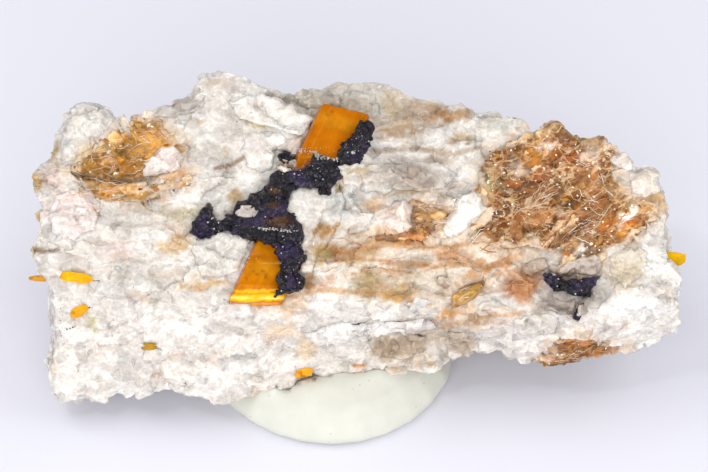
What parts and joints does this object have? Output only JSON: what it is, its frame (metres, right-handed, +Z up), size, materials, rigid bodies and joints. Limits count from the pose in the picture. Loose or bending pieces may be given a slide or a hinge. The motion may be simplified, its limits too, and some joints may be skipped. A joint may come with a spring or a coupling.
{
  "type": "yoderite with kyanite mineral specimen",
  "caption": "Broken block of milky quartz with golden mica, an orange kyanite blade and a dark purple yoderite crust, leaning on a pad of putty.",
  "frame": {"origin": "under the middle of the part's box, on the flat foot of the putty pad", "axes": "+X along the block to the right of the show face, +Y to the back, +Z up"},
  "size_m": [0.0482, 0.025, 0.0182],
  "materials": {
    "quartz": "sugary broken quartz",
    "kyanite": "glassy cleaved crystal",
    "yoderite": "glossy lumpy crystal",
    "mica": "pearly flakes",
    "putty": "matte"
  },
  "bodies": {
    "root": {"quartz_matrix": "quartz", "kyanite_blade": "kyanite", "yoderite_crust": "yoderite", "yoderite_right": "yoderite", "yoderite_right_chip": "yoderite", "yoderite_grain": "yoderite", "mica_left": "mica", "mica_right": "mica", "mica_middle": "mica", "mica_flake": "mica", "mica_under_edge": "mica", "kyanite_left_upper": "kyanite", "kyanite_left_lower": "kyanite", "kyanite_front": "kyanite", "kyanite_bottom": "kyanite", "kyanite_left_end": "kyanite", "kyanite_right_end": "kyanite", "putty_pad": "putty"}
  },
  "joints": []
}
